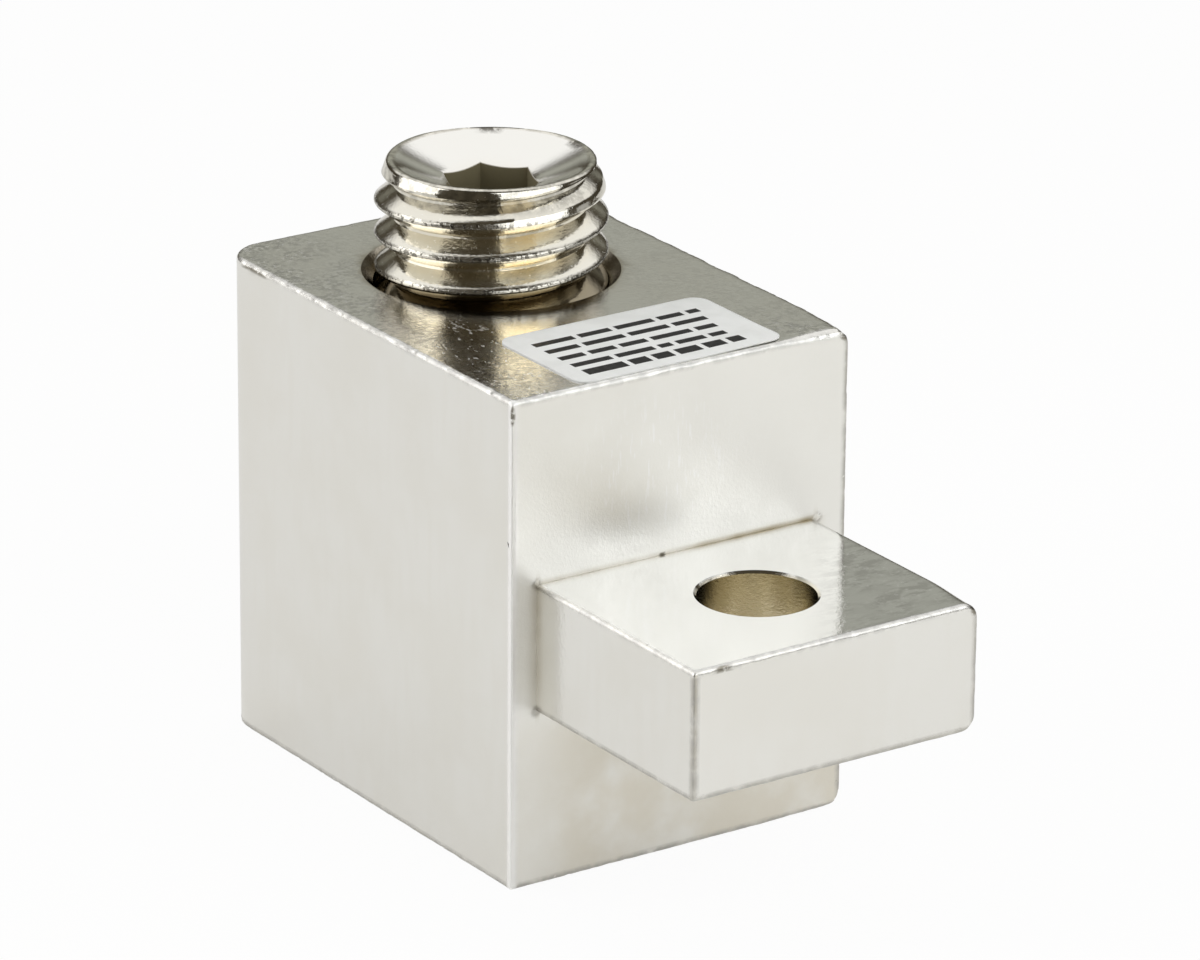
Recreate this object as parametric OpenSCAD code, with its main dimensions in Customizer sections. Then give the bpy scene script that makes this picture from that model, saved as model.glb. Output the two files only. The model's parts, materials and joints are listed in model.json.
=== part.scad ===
// Mechanical lug: a plated block with a blind cable bore, a bolt-on palm and one hollow-hex clamping screw.
// Millimetres. X runs out along the palm, Y across it, Z up. The origin is on the axis of the palm's
// bolt hole, halfway through the palm.

/* [Block] */
// Width of the block, across the palm
block_w = 37; // [34:0.5:48]
// Depth of the block, from its back face to the palm's root
block_d = 50; // [44:0.5:64]
// Height of the block
block_h = 47.5; // [42:0.5:60]
// Sideways distance from the palm's middle to the block's middle
block_shift = 0.3; // [-2:0.1:2]

/* [Palm] */
// Width of the palm
palm_w = 31; // [22:0.5:33]
// Length of the palm, from the block's front face to its tip
palm_l = 25; // [20:0.5:40]
// Thickness of the palm
palm_t = 12.4; // [6:0.1:16]
// Height of the palm's lower face above the foot of the block
palm_rise = 17.1; // [4:0.1:22]
// Diameter of the palm's bolt hole
bolt_d = 11; // [6:0.5:14]
// Distance from the palm's tip to the bolt hole's axis
bolt_setback = 12.5; // [9:0.5:18]
// Chamfer at both mouths of the bolt hole
bolt_chamfer = 0.3; // [0.1:0.1:1]

/* [Cable bore] */
// Diameter of the cable bore
cable_d = 23; // [14:0.5:25]
// Depth of the cable bore, from the back face to the start of its drill point
cable_depth = 37; // [31:0.5:40]
// Metal under the cable bore
cable_floor = 7; // [4:0.5:9]
// Included angle of the bore's drill point
point_angle = 118; // [90:1:140]
// Chamfer at the cable bore's mouth
cable_chamfer = 1; // [0.2:0.1:2]

/* [Clamping screw] */
// Outside diameter of the screw's thread
screw_d = 22; // [16:0.5:24]
// Length of the screw
screw_l = 28; // [22:0.5:36]
// How far the screw stands above the block
screw_proud = 10.9; // [2:0.1:14]
// Distance from the block's back face to the screw's axis
screw_from_back = 18.25; // [15:0.25:22]
// Gap between the thread's crest and the wall of its hole
screw_gap = 0.1; // [0.05:0.01:0.2]
// Width of the chamfer at the mouth of the screw's hole
mouth_chamfer = 1.1; // [0.2:0.1:2]
// Thread pitch
pitch = 3.2; // [2:0.1:4]
// Depth of the thread
thread_depth = 1.7; // [1:0.1:2.2]
// Width of the thread's crest
crest_w = 0.45; // [0.2:0.05:0.6]
// Width of the thread's root
root_w = 0.55; // [0.2:0.05:0.6]
// Angle round the axis at which a crest passes the screw's top
thread_start = 325; // [0:1:360]
// Width of the chamfers that end the thread
end_chamfer = 1.2; // [0.5:0.1:2.5]
// Height of the chamfers that end the thread, along the axis
end_slope = 3.5; // [0.5:0.1:4]
// Width across flats of the hex socket
hex_af = 8; // [5:0.5:10]
// Angle of the hex socket's first corner round the axis
hex_turn = 40; // [0:1:60]
// Depth of the hex socket below the dish
hex_depth = 9; // [5:0.5:14]
// Depth of the dish in the screw's top
dish_depth = 2; // [0.5:0.1:4]
// Width of the flat rim around the dish
rim_w = 0.6; // [0.2:0.1:2]

/* [Label] */
// Width of the label, across the block
label_w = 22.6; // [12:0.2:30]
// Depth of the label
label_d = 14; // [8:0.2:16]
// Thickness of the label
label_t = 0.12; // [0.1:0.01:0.5]
// Corner radius of the label
label_r = 1.6; // [0.5:0.1:3]
// Distance from the block's front face to the label's front edge
label_setback = 0.55; // [0.5:0.05:4]
// Sideways distance from the block's middle to the label's middle
label_shift = 0.5; // [-4:0.1:4]
// Turn of the label on the block
label_turn = 0.2; // [-3:0.1:3]

/* [Edges] */
// Break along the sharper edges
edge_break = 0.4; // [0.2:0.1:1]
// Rounding along the long right-hand edges
side_round = 0.8; // [0.5:0.1:3]
// Rounding of the upright back edges
back_round = 3.9; // [1:0.1:5]
// Rounding of the top back edge
rear_round = 0.4; // [0.3:0.1:3]

/* [Hidden] */
$fn = 96;

// Facets in one rounded edge
edge_steps = 4;
// Steps in one turn of the thread
turn_steps = 40;
// Overlap that fuses the palm with the block, and carries cuts past a face
bite = 1;

palm_tip = bolt_setback;
palm_top = palm_t / 2;
front_x = palm_tip - palm_l;
back_x = front_x - block_d;
foot_z = -palm_top - palm_rise;
top_z = foot_z + block_h;
right_y = block_shift + block_w / 2;
left_y = block_shift - block_w / 2;

cable_z = foot_z + cable_floor + cable_d / 2;
point_h = cable_d / 2 / tan(point_angle / 2);

screw_x = back_x + screw_from_back;
screw_top = top_z + screw_proud;
screw_tip = screw_top - screw_l;
hole_r = screw_d / 2 + screw_gap;
root_r = screw_d / 2 - thread_depth;
end_r = screw_d / 2 - end_chamfer;
dish_r = end_r - rim_w;
hex_r = hex_af / sqrt(3);

// Points of a rounded corner about a centre, a quarter turn from a starting angle
function corner(centre, r, start) = [
    for (i = [0 : edge_steps])
        centre + r * [cos(start + 90 * i / edge_steps), sin(start + 90 * i / edge_steps)]
];

// A rectangle with its own radius at each corner, anticlockwise from the lower left
module soft_rect(low, high, radii) {
    polygon(concat(
        corner([low.x + radii[0], low.y + radii[0]], radii[0], 180),
        corner([high.x - radii[1], low.y + radii[1]], radii[1], 270),
        corner([high.x - radii[2], high.y - radii[2]], radii[2], 0),
        corner([low.x + radii[3], high.y - radii[3]], radii[3], 90)
    ));
}

// A box whose edges are softened by three crossed prisms: its plan, its side and its front
module soft_box(low, high, plan, side, front) {
    size = high - low;
    intersection() {
        translate([0, 0, low.z])
            linear_extrude(size.z)
                soft_rect([low.x, low.y], [high.x, high.y], plan);
        translate([0, high.y, 0])
            rotate([90, 0, 0])
                linear_extrude(size.y)
                    soft_rect([low.x, low.z], [high.x, high.z], side);
        translate([low.x, 0, 0])
            rotate([90, 0, 90])
                linear_extrude(size.x)
                    soft_rect([low.y, low.z], [high.y, high.z], front);
    }
}

// The block and the palm before they are drilled
module blank() {
    e = edge_break;
    soft_box(
        [back_x, left_y, foot_z], [front_x, right_y, top_z],
        [back_round, e, e, back_round], [e, e, e, rear_round], [e, side_round, side_round, e]
    );
    soft_box(
        [front_x - bite, -palm_w / 2, -palm_top], [palm_tip, palm_w / 2, palm_top],
        [e, e, e, e], [e, e, e, e], [e, side_round, side_round, e]
    );
}

// A chamfer that widens a hole's mouth at the height 0, opening upwards
module mouth(r, width) {
    translate([0, 0, -width])
        cylinder(r1 = r, r2 = r + width + bite, h = width + bite);
}

module bolt_hole() {
    cylinder(d = bolt_d, h = palm_t + 2 * bite, center = true);
    for (face = [0, 1])
        mirror([0, 0, face])
            translate([0, 0, palm_top])
                mouth(bolt_d / 2, bolt_chamfer);
}

// Drilled from the back face towards the palm
module cable_bore() {
    translate([back_x, block_shift, cable_z])
        rotate([0, 90, 0]) {
            translate([0, 0, -bite])
                cylinder(d = cable_d, h = cable_depth + bite);
            translate([0, 0, cable_depth])
                cylinder(r1 = cable_d / 2, r2 = 0, h = point_h);
            mirror([0, 0, 1])
                mouth(cable_d / 2, cable_chamfer);
        }
}

module screw_hole() {
    translate([screw_x, block_shift, cable_z])
        cylinder(r = hole_r, h = top_z - cable_z + bite);
    translate([screw_x, block_shift, top_z])
        mouth(hole_r, mouth_chamfer);
}

module clamp_body() {
    color("#d6d4cd")
        difference() {
            blank();
            bolt_hole();
            cable_bore();
            screw_hole();
        }
}

// The thread's section over one pitch: root, rising flank, crest, falling flank
flank_w = (pitch - crest_w - root_w) / 2;
section = [
    [root_r, 0],
    [root_r, root_w],
    [screw_d / 2, root_w + flank_w],
    [screw_d / 2, root_w + flank_w + crest_w]
];
crest_z = root_w + flank_w + crest_w / 2;
turns = ceil(screw_l / pitch) + 2;
thread_steps = turns * turn_steps;

// A point of the thread: its section carried round the axis and up one pitch a turn
function thread_point(step, row) =
    let (angle = 360 * step / turn_steps)
    [
        section[row][0] * cos(angle),
        section[row][0] * sin(angle),
        section[row][1] + pitch * step / turn_steps
    ];

// Index of a thread point; the row past the section's end is the first row one turn on
function at(step, row) =
    row < len(section) ? step * len(section) + row : (step + turn_steps) * len(section) + row - len(section);

// A right-hand threaded rod with helical ends, about the Z axis from the height 0 up
module threaded_rod() {
    rows = len(section);
    points = [
        for (step = [0 : thread_steps + turn_steps])
            for (row = [0 : rows - 1])
                thread_point(step, row)
    ];
    low_end = len(points);
    high_end = low_end + 1;
    walls = [
        for (step = [0 : thread_steps - 1])
            for (row = [0 : rows - 1])
                each [
                    [at(step, row), at(step, row + 1), at(step + 1, row)],
                    [at(step + 1, row), at(step, row + 1), at(step + 1, row + 1)]
                ]
    ];
    low_cap = [
        for (step = [0 : turn_steps - 1]) [low_end, at(step, 0), at(step + 1, 0)],
        for (row = [0 : rows - 1]) [low_end, at(0, row + 1), at(0, row)]
    ];
    high_cap = [
        for (step = [thread_steps : thread_steps + turn_steps - 1]) [high_end, at(step + 1, 0), at(step, 0)],
        for (row = [0 : rows - 1]) [high_end, at(thread_steps, row), at(thread_steps, row + 1)]
    ];
    polyhedron(
        concat(points, [[0, 0, -pitch], [0, 0, (turns + 2) * pitch]]),
        concat(walls, low_cap, high_cap)
    );
}

// The turned outline of the screw: chamfered ends and a dished top
module screw_outline() {
    outer = screw_d / 2 + bite;
    slope = end_slope * (end_chamfer + bite) / end_chamfer;
    rotate_extrude()
        polygon([
            [0, 0],
            [end_r, 0],
            [outer, slope],
            [outer, screw_l - slope],
            [end_r, screw_l],
            [dish_r, screw_l],
            [0, screw_l - dish_depth * dish_r / (dish_r - hex_r)]
        ]);
}

module hex_socket() {
    translate([0, 0, screw_l - dish_depth - hex_depth])
        rotate(hex_turn)
            cylinder(r = hex_r, h = hex_depth + dish_depth, $fn = 6);
}

module clamping_screw() {
    // A whole number of turns below the top, so that a crest passes the top at the starting angle
    lift = screw_l - (turns - 1) * pitch - crest_z;
    color("#c9c5b6")
        translate([screw_x, block_shift, screw_tip])
            difference() {
                intersection() {
                    translate([0, 0, lift])
                        rotate(thread_start)
                            threaded_rod();
                    screw_outline();
                }
                hex_socket();
            }
}

module label() {
    size = [label_d, label_w];
    color("#f1f0ec")
        translate([front_x - label_setback - label_d / 2, block_shift + label_shift, top_z])
            rotate(label_turn)
                linear_extrude(label_t)
                    soft_rect(-size / 2, size / 2, [label_r, label_r, label_r, label_r]);
}

clamp_body();
clamping_screw();
label();
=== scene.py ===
import json
import math

import bmesh
import bpy
import numpy as np
from mathutils import Matrix, Vector

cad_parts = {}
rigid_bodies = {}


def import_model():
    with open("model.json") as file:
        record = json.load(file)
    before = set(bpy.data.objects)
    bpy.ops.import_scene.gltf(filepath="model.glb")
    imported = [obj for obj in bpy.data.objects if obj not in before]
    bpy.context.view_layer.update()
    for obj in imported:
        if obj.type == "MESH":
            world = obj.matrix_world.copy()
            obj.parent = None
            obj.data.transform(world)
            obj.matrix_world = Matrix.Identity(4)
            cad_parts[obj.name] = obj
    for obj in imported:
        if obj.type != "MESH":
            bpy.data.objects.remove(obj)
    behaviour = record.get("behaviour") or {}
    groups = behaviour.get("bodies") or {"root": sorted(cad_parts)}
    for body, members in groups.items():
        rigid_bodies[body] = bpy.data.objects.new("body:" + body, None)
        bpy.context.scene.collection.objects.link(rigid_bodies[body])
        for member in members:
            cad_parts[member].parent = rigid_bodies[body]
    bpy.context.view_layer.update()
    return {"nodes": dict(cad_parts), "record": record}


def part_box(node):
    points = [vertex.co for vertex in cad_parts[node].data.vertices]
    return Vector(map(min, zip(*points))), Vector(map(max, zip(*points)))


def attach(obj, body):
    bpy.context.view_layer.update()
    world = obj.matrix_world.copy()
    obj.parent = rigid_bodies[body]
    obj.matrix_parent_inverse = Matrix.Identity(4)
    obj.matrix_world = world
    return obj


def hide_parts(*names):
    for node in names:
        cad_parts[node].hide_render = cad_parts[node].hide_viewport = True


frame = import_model()
mm = 0.001
weldDistance = 2e-6                      # points closer than this are one, in metres
farOff = 99.0                            # a distance that counts as out of reach, in millimetres
scene = bpy.context.scene
scene.view_settings.view_transform = "Standard"
mounts = {m["name"]: m for m in frame["record"]["mounts"]}
print("frame loaded:", ", ".join(sorted(frame["nodes"])))


def nodeBox(name):                       # a CAD node's two corners, in millimetres
    low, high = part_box(name)
    return np.array(low) / mm, np.array(high) / mm


def mountSpot(name):                     # a mount's place, in millimetres
    return np.array(mounts[name]["pos_m"]) / mm


# Value noise from 0 to 1: hashed numbers on a cubic lattice, blended smoothly between the lattice points
def lumpy(points, size, seed):
    q = points / size + 100.0
    cell = np.floor(q).astype(np.int64)
    t = q - cell
    t = t * t * (3 - 2 * t)
    total = np.zeros(len(points))
    for corner in np.ndindex(2, 2, 2):
        k = cell + np.array(corner)
        h = k[:, 0] * 374761393 + k[:, 1] * 668265263 + k[:, 2] * 1440662683 + seed * 974634779
        h &= 0xFFFFFFFF
        h = ((h ^ (h >> 13)) * 1274126177) & 0xFFFFFFFF
        h = (h ^ (h >> 16)) & 0xFFFF
        weight = np.prod(np.where(np.array(corner) == 1, t, 1 - t), axis=1)
        total += weight * h / 65535.0
    return total


def smooth(low, high, x):                # 0 below low, 1 above high, an S between
    t = np.clip((x - low) / (high - low), 0, 1)
    return t * t * (3 - 2 * t)


# Points on a line: steps start fine at every stop, grow by a ratio, and level off at the coarse step
def gradedLine(stops, fine, coarse, growth=1.4):
    parts = []
    for a, b in zip(stops[:-1], stops[1:]):
        run = np.concatenate([[0], np.cumsum(np.minimum(fine * growth ** np.arange(60), coarse))])
        n = max(int(np.searchsorted(run, (b - a) / 2)), 1)
        half = run[: n + 1] * (b - a) / 2 / run[n]
        parts += [a + half, b - half]
    return np.unique(np.round(np.concatenate(parts), 5))


def gridFaces(rows, columns):            # quads of a grid whose points run row by row
    i = np.arange(rows * columns).reshape(rows, columns)
    return np.stack([i[:-1, :-1], i[1:, :-1], i[1:, 1:], i[:-1, 1:]], -1).reshape(-1, 4)


# One mesh from several grids of points: they are welded where they meet and turned to face outwards
def weldGrids(name, grids, keeps=None):
    points, faces, first = [], [], 0
    for k, grid in enumerate(grids):
        quads = gridFaces(*grid.shape[:2])
        if keeps and keeps[k] is not None:
            quads = quads[keeps[k].ravel()]
        points.append(grid.reshape(-1, 3))
        faces.append(quads + first)
        first += points[-1].shape[0]
    mesh = bpy.data.meshes.new(name)
    mesh.from_pydata((np.concatenate(points) * mm).tolist(), [], np.concatenate(faces).tolist())
    bm = bmesh.new()
    bm.from_mesh(mesh)
    bmesh.ops.remove_doubles(bm, verts=bm.verts, dist=weldDistance)
    loose = [v for v in bm.verts if not v.link_faces]
    bmesh.ops.delete(bm, geom=loose, context="VERTS")
    bmesh.ops.recalc_face_normals(bm, faces=bm.faces)
    bm.to_mesh(mesh)
    bm.free()
    return mesh


def readVectors(mesh, name):
    values = np.empty(len(mesh.vertices) * 3, np.float32)
    mesh.vertices.foreach_get(name, values)
    return values.reshape(-1, 3).astype(float)


def readPoints(mesh):                    # vertex places in millimetres
    return readVectors(mesh, "co") / mm


def writePoints(mesh, points):
    mesh.vertices.foreach_set("co", (points * mm).astype(np.float32).ravel())
    mesh.update()


def addAttribute(mesh, name, values, domain="POINT"):
    attribute = mesh.attributes.new(name, "FLOAT", domain)
    attribute.data.foreach_set("value", values.astype(np.float32))


def spotShare(p, spots, full):           # 1 in the middle of each spot, 0 outside them all
    away = [np.linalg.norm((p - at) / reach, axis=1) for at, reach in spots]
    return smooth(1.0, full, np.min(away, axis=0))


def addPiece(name, mesh):
    piece = bpy.data.objects.new(name, mesh)
    scene.collection.objects.link(piece)
    return piece


def shadeSmooth(mesh, angle):
    mesh.polygons.foreach_set("use_smooth", np.ones(len(mesh.polygons), bool))
    mesh.set_sharp_from_angle(angle=math.radians(angle))


# Node helpers: each adds one node to a tree and hands back its output
def addNode(tree, kind, **settings):
    node = tree.nodes.new(kind)
    for key, value in settings.items():
        setattr(node, key, value)
    return node


def feed(tree, node, socket, value):     # a link where the value is a socket, otherwise a constant
    if isinstance(value, bpy.types.NodeSocket):
        tree.links.new(value, node.inputs[socket])
    else:
        node.inputs[socket].default_value = value


def placeOf(tree, scale=(1, 1, 1)):      # in millimetres, drawn out where the scale is small
    where = addNode(tree, "ShaderNodeTexCoord")
    mapping = addNode(tree, "ShaderNodeMapping")
    mapping.inputs["Scale"].default_value = [s / mm for s in scale]
    tree.links.new(where.outputs["Object"], mapping.inputs["Vector"])
    return mapping.outputs["Vector"]


def noiseOf(tree, place, size, detail=2.0, rough=0.5):
    node = addNode(tree, "ShaderNodeTexNoise")
    feed(tree, node, "Vector", place)
    for socket, value in (("Scale", 1 / size), ("Detail", detail), ("Roughness", rough)):
        node.inputs[socket].default_value = value
    return node.outputs["Fac"]


def spanOf(tree, value, low, high, toLow=0.0, toHigh=1.0, soft=True):
    node = addNode(tree, "ShaderNodeMapRange", interpolation_type="SMOOTHSTEP" if soft else "LINEAR")
    feed(tree, node, "Value", value)
    for socket, number in (("From Min", low), ("From Max", high), ("To Min", toLow), ("To Max", toHigh)):
        node.inputs[socket].default_value = number
    return node.outputs["Result"]


def mathOf(tree, operation, a, b=0.0, c=0.0):
    node = addNode(tree, "ShaderNodeMath", operation=operation)
    for k, value in enumerate((a, b, c)):
        feed(tree, node, k, value)
    return node.outputs[0]


def timesOf(tree, a, b):
    return mathOf(tree, "MULTIPLY", a, b)


def blendOf(tree, share, a, b):          # colour a turning into colour b
    node = addNode(tree, "ShaderNodeMix", data_type="RGBA")
    for k, value in ((0, share), (6, a), (7, b)):
        feed(tree, node, k, value)
    return node.outputs[2]


def attributeOf(tree, name):
    return addNode(tree, "ShaderNodeAttribute", attribute_name=name).outputs["Fac"]


def bumpOf(tree, height, depth, under=None):   # a bump of this depth in millimetres, over another bump
    node = addNode(tree, "ShaderNodeBump")
    feed(tree, node, "Height", height)
    node.inputs["Distance"].default_value = depth * mm
    node.inputs["Strength"].default_value = 1.0
    if under is not None:
        tree.links.new(under, node.inputs["Normal"])
    return node.outputs["Normal"]


def emptyTree(owner):                    # the bare node tree of a material or a world
    owner.use_nodes = True
    owner.node_tree.nodes.clear()
    return owner.node_tree


def newFinish(name):                     # a material with only its output and a Principled shader
    finish = bpy.data.materials.new(name)
    tree = emptyTree(finish)
    shader = addNode(tree, "ShaderNodeBsdfPrincipled")
    output = addNode(tree, "ShaderNodeOutputMaterial")
    tree.links.new(shader.outputs["BSDF"], output.inputs["Surface"])
    return finish, tree, shader


bodyLow, bodyHigh = nodeBox("clamp_body")
screwLow, screwHigh = nodeBox("clamping_screw")
labelLow, labelHigh = nodeBox("label")
palmTop = mountSpot("palm_topside")[2]
boreSpot = mountSpot("cable_bore")
screwSpot = mountSpot("hex_socket")

# The clamp body: block and palm in one piece
bodySet = {
    "palmLength": 25.0, "palmWidth": 31.0,
    "edgeBreak": 0.45, "lowBreak": 0.3, "frontBreak": 0.18,   # top, lower, and the left front upright
    "sideRound": 0.8, "backRound": 3.9, "rearRound": 0.35,    # right side, back uprights, back of the top
    "knocked": 0.9, "knockedReach": 7.0,     # the front right corners are rounder by this share
    "knockedSide": (9.0, 17.0),              # from none to all of it across the block
    "fineStep": 0.07, "coarseStep": 1.15,    # grid steps at the edges and out on the faces
    "alongStep": 0.2, "alongReach": 0.62,    # finer steps along the sharper edges
    "boltChamfer": 0.25, "screwHoleR": 11.1, "screwMouth": 1.1,
    "boreDepth": 37.0, "boreChamfer": 1.0, "pointAngle": 118.0,
    "nickSize": 0.9, "nickDepth": 0.05, "nickReach": (0.55, 0.15), "burrHeight": 0.015,
    "wear": 0.8,                             # the share of its rounding that an edge has at its sharpest
    "wearSize": (1.7, 0.6), "wearRange": (0.4, 0.2),   # long and short lumps along it, and what they add
    "crease": 34.0,                          # angle over which an edge is shaded sharp
    # reach of the tints, where they end and where they are full, by the distance from an edge; the tint for
    # the lower edges is painted shade and the tint for the front left upright a painted highlight
    "edgeTint": (0.8, 0.2), "lineTint": (0.62, 0.3), "frostTint": (0.8, 0.4),
    "marks": [                               # dark knocks: the middle and the reach of each
        ((-12.5, -18.2, 22.9), (0.35, 0.35, 1.1)), ((-56.5, -18.2, 23.7), (2.6, 0.25, 0.28)),
        ((12.5, -12.4, 5.9), (0.3, 1.0, 0.4)), ((12.5, 15.1, 5.6), (0.6, 0.5, 0.7)),
        ((-12.5, -1.8, 6.2), (0.35, 0.45, 0.3)), ((-12.6, 18.4, 23.7), (0.9, 0.8, 0.8)),
    ],
    # ovals on the top face and, by y and z, on the front: middle and reach
    "smear": ((-31.0, -10.7), (3.6, 1.3)), "specks": ((-27.0, -13.0), (7.5, 4.5)), "speckShare": 0.45,
    "scuff": ((-3.0, 15.0), (12.0, 9.0)),
    # the next two place a painted reflection, near white, on the front left corner of the top
    "brightX": (-40.0, -27.0), "brightY": (6.0, -6.0),   # the brighter front corner of the top
    "spotty": 0.25, "spottyLeft": (12.0, 3.0),           # mottling of the top: all over, and more at the left
    "spottyRight": 0.6, "rightX": (-24.0, -15.0), "rightY": (9.0, 14.0),   # and at the front right
    "spottyPalm": 0.8, "palmEdge": (13.0, 19.0), "palmSlant": 0.68,
}

frontX = bodyHigh[0] - bodySet["palmLength"]
palmHalf = bodySet["palmWidth"] / 2
blockLow = bodyLow.copy()
blockHigh = np.array([frontX, bodyHigh[1], bodyHigh[2]])
palmLow = np.array([frontX, -palmHalf, -palmTop])
palmHigh = np.array([bodyHigh[0], palmHalf, palmTop])


# A flat patch: one coordinate is fixed and the other two run along the given lines
def flatPatch(axis, at, u, v):
    grid = np.empty((len(u), len(v), 3))
    a, b = [k for k in range(3) if k != axis]
    grid[..., axis] = at
    grid[..., a], grid[..., b] = np.meshgrid(u, v, indexing="ij")
    return grid


def sharpBlank(s):                       # block and palm with sharp edges, as one closed skin
    fine, coarse = s["fineStep"], s["coarseStep"]
    xBlock = gradedLine([blockLow[0], frontX], fine, coarse)
    xPalm = gradedLine([frontX, palmHigh[0]], fine, coarse)
    y = gradedLine([blockLow[1], palmLow[1], palmHigh[1], blockHigh[1]], fine, coarse)
    z = gradedLine([blockLow[2], palmLow[2], palmHigh[2], blockHigh[2]], fine, coarse)
    yPalm = y[(y >= palmLow[1] - 1e-4) & (y <= palmHigh[1] + 1e-4)]
    zPalm = z[(z >= palmLow[2] - 1e-4) & (z <= palmHigh[2] + 1e-4)]
    yMid, zMid = (y[1:] + y[:-1]) / 2, (z[1:] + z[:-1]) / 2
    acrossPalm = (yMid > palmLow[1]) & (yMid < palmHigh[1])
    upPalm = (zMid > palmLow[2]) & (zMid < palmHigh[2])
    behindPalm = np.outer(acrossPalm, upPalm)
    grids = [
        flatPatch(1, blockLow[1], xBlock, z), flatPatch(1, blockHigh[1], xBlock, z),
        flatPatch(2, blockLow[2], xBlock, y), flatPatch(2, blockHigh[2], xBlock, y),
        flatPatch(0, blockLow[0], y, z), flatPatch(0, frontX, y, z),
        flatPatch(1, palmLow[1], xPalm, zPalm), flatPatch(1, palmHigh[1], xPalm, zPalm),
        flatPatch(2, palmLow[2], xPalm, yPalm), flatPatch(2, palmHigh[2], xPalm, yPalm),
        flatPatch(0, palmHigh[0], yPalm, zPalm),
    ]
    keeps = [None] * 5 + [~behindPalm] + [None] * 5
    return weldGrids("clampBody", grids, keeps)


# The axis that each group of edges runs along, and every point's distance from the nearest edge of the group:
# three groups on the block, three on the palm, two in the inner corner
def edgeDistances(p):
    found = []
    onBlock, onPalm = p[:, 0] <= frontX + 0.01, p[:, 0] >= frontX - 0.01
    for low, high, mine in ((blockLow, blockHigh, onBlock), (palmLow, palmHigh, onPalm)):
        away = np.stack([np.minimum(p[:, k] - low[k], high[k] - p[:, k]) for k in range(3)], 1)
        if low is palmLow:
            away[:, 0] = high[0] - p[:, 0]
        for a, b, along in ((1, 2, 0), (0, 2, 1), (0, 1, 2)):
            found.append((along, np.where(mine, np.hypot(away[:, a], away[:, b]), farOff)))
    # the inner corner where the palm leaves the block
    fromFront = np.abs(p[:, 0] - frontX)
    acrossRoot = (p[:, 1] > palmLow[1] - 0.1) & (p[:, 1] < palmHigh[1] + 0.1)
    besideRoot = np.abs(p[:, 2]) < palmTop + 0.1
    fromLevel, fromSide = np.abs(np.abs(p[:, 2]) - palmTop), np.abs(np.abs(p[:, 1]) - palmHalf)
    found.append((1, np.where(acrossRoot, np.hypot(fromFront, fromLevel), farOff)))
    found.append((2, np.where(besideRoot, np.hypot(fromFront, fromSide), farOff)))
    return found


def refineEdges(mesh, s):                # halves the steps along an edge until they are short enough there
    for _ in range(4):
        p = readPoints(mesh)
        ends = np.empty(len(mesh.edges) * 2, np.int32)
        mesh.edges.foreach_get("vertices", ends)
        a, b = p[ends[0::2]], p[ends[1::2]]
        run = np.abs(b - a)
        close = np.zeros(len(a), bool)
        for along, away in edgeDistances((a + b) / 2):
            parallel = run[:, along] > 0.999 * np.linalg.norm(run, axis=1)
            close |= parallel & (away < s["alongReach"]) & (run[:, along] > s["alongStep"] * 1.4)
        if not close.any():
            break
        bm = bmesh.new()
        bm.from_mesh(mesh)
        bm.edges.ensure_lookup_table()
        chosen = [bm.edges[i] for i in np.flatnonzero(close)]
        bmesh.ops.subdivide_edges(bm, edges=chosen, cuts=1, use_grid_fill=True)
        bm.to_mesh(mesh)
        bm.free()


# Rounds an edge: with u and v the distances from its two faces, the square of side r at the edge
# is carried onto the quarter disc of radius r, so that both flats run smoothly into the arc
def roundEdge(u, v, r):
    a, b = 1 - u / r, 1 - v / r
    inside = (a > 0) & (b > 0)
    m = np.maximum(a, b)
    turn = np.pi / 4 * np.minimum(a, b) / np.maximum(m, 1e-9)
    far, near = m * np.cos(turn), m * np.sin(turn)
    newU = r * (1 - np.where(a >= b, far, near))
    newV = r * (1 - np.where(a >= b, near, far))
    return np.where(inside, newU, u), np.where(inside, newV, v)


# Inward distance and direction from the outline of a rounded rectangle, of which some sides count
def outlineDistance(p, q, low, high, radii, sides):
    away = np.stack([p - low[0], high[0] - p, q - low[1], high[1] - q], 1)
    inward = np.array([[1, 0], [-1, 0], [0, 1], [0, -1]], float)
    counted = np.where(np.array(sides)[None, :], away, farOff)
    pick = np.argmin(counted, axis=1)
    d, n = counted[np.arange(len(p)), pick], inward[pick]
    for (i, j), r in zip(((0, 2), (1, 2), (1, 3), (0, 3)), radii):
        if not (sides[i] and sides[j]):
            continue
        u, v = r - away[:, i], r - away[:, j]
        inCorner = (u > 0) & (v > 0)
        reach = np.maximum(np.hypot(u, v), 1e-9)
        d = np.where(inCorner, r - reach, d)
        turned = (u / reach)[:, None] * inward[i] + (v / reach)[:, None] * inward[j]
        n = np.where(inCorner[:, None], turned, n)
    return d, n


def roundCorners(p, k, low, high, radii):     # the four edges that run along axis k
    i, j = [a for a in range(3) if a != k]
    for (atI, atJ), r in zip(((0, 0), (1, 0), (1, 1), (0, 1)), radii):
        u = high[i] - p[:, i] if atI else p[:, i] - low[i]
        v = high[j] - p[:, j] if atJ else p[:, j] - low[j]
        u, v = roundEdge(u, v, r)
        p[:, i] = high[i] - u if atI else low[i] + u
        p[:, j] = high[j] - v if atJ else low[j] + v


def roundRim(p, k, low, high, atHigh, corners, sides, sideRadii, worn):   # the rim of one end face
    i, j = [a for a in range(3) if a != k]
    d, n = outlineDistance(p[:, i], p[:, j], low[[i, j]], high[[i, j]], corners, sides)
    faces = (n[:, 0], -n[:, 0], n[:, 1], -n[:, 1])
    share = np.stack([np.maximum(facing, 0) for facing in faces], 1) ** 2
    r = share @ np.array(sideRadii) * worn
    v = high[k] - p[:, k] if atHigh else p[:, k] - low[k]
    newD, newV = roundEdge(d, v, r)
    p[:, i] += n[:, 0] * (newD - d)
    p[:, j] += n[:, 1] * (newD - d)
    p[:, k] = high[k] - newV if atHigh else low[k] + newV


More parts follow.
